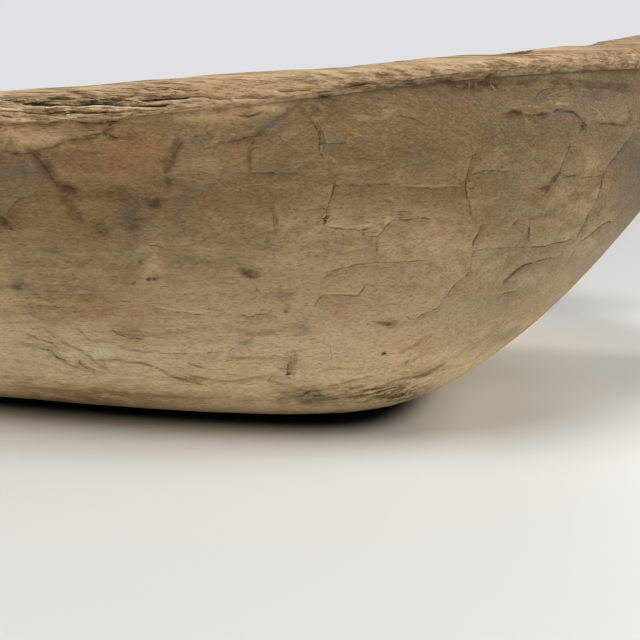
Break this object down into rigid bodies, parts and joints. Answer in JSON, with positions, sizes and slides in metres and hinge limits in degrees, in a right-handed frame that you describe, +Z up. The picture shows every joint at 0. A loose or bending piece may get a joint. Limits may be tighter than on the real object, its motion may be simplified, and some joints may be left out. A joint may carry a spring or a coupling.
{
  "type": "dough bowl",
  "caption": "Long hewn wooden dough bowl with an oval rim that rises to thick carrying grips at both ends, a deep smooth hollow and a long flat foot.",
  "frame": {"origin": "middle of the flat foot, on the surface that the bowl stands on", "axes": "+X along the bowl from end to end, +Y across it towards the side where the rim dips lower, +Z up"},
  "size_m": [0.92, 0.39, 0.184],
  "materials": {
    "wood": "dry, worn, waxed long ago, satin in the hollow"
  },
  "bodies": {
    "root": {"bowl": "wood"}
  },
  "joints": []
}
